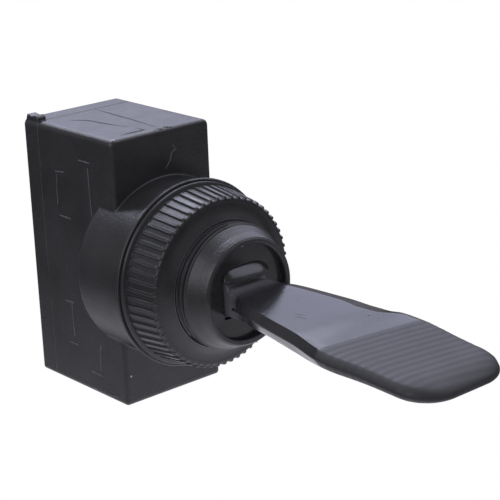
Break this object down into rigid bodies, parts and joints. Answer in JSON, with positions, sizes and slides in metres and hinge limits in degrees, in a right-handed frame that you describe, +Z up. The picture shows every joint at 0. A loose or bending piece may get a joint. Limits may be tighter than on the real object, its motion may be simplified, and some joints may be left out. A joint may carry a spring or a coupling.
{
  "type": "panel toggle switch",
  "caption": "Panel toggle switch with a broad flat ribbed lever, a round neck with a knurled ring nut, a narrow rectangular body and blade terminals at the back.",
  "frame": {"origin": "on the neck's axis, at the collar's front face that seats against the panel", "axes": "-Y out of the panel towards the user, +Y to the terminals, +X to the user's right, +Z up along the long side of the body"},
  "size_m": [0.021, 0.0693, 0.0311],
  "materials": {
    "black_plastic": "moulded thermoset with a fine even surface, slightly worn",
    "nut_plastic": "moulded plastic, satin",
    "lever_plastic": "moulded plastic, smooth satin to gloss",
    "washer_steel": "black finish",
    "steel": "ground",
    "spring_steel": "drawn wire",
    "brass": "turned",
    "copper": "stamped",
    "silver": "pressed contact silver",
    "tinned_brass": "tinned"
  },
  "bodies": {
    "body": {"housing": "black_plastic", "rear_base": "black_plastic", "terminal_upper": "tinned_brass", "terminal_common": "tinned_brass", "terminal_lower": "tinned_brass", "terminal_rivets": "brass", "fixed_button_upper": "silver", "fixed_button_lower": "silver", "rocker_cradle": "copper"},
    "washer": {"washer": "washer_steel"},
    "nut": {"ring_nut": "nut_plastic"},
    "lever": {"lever": "lever_plastic", "pivot_pin": "steel", "plunger_spring": "spring_steel"},
    "plunger": {"plunger": "brass"},
    "rocker": {"rocker_contact": "copper", "rocker_button_upper": "silver", "rocker_button_lower": "silver"}
  },
  "joints": [
    {"name": "lever_tilt", "type": "hinge", "parent": "body", "child": "lever", "pos_m": [0, -0.0073, 0], "axis": [1, 0, 0], "range_deg": [-13, 13]},
    {"name": "rocker_tilt", "type": "hinge", "parent": "body", "child": "rocker", "pos_m": [0, 0.0134, 0], "axis": [1, 0, 0], "range_deg": [-6, 6]},
    {"name": "plunger_slide", "type": "slide", "parent": "lever", "child": "plunger", "axis": [0, -1, 0], "range_m": [0, 0.0006], "stiffness_N_per_m": 500, "springref_m": -0.003},
    {"name": "washer_slide", "type": "slide", "parent": "body", "child": "washer", "axis": [0, -1, 0], "range_m": [0, 0.0015]},
    {"name": "nut_turn", "type": "hinge", "parent": "washer", "child": "nut", "pos_m": [0, -0.003, 0], "axis": [0, -1, 0], "range_deg": [0, 720]}
  ],
  "couplings": [
    {"joint": "rocker_tilt", "follows": "lever_tilt", "ratio": -0.46},
    {"joint": "nut_turn", "follows": "washer_slide", "rad_per_m": 8377.5}
  ]
}
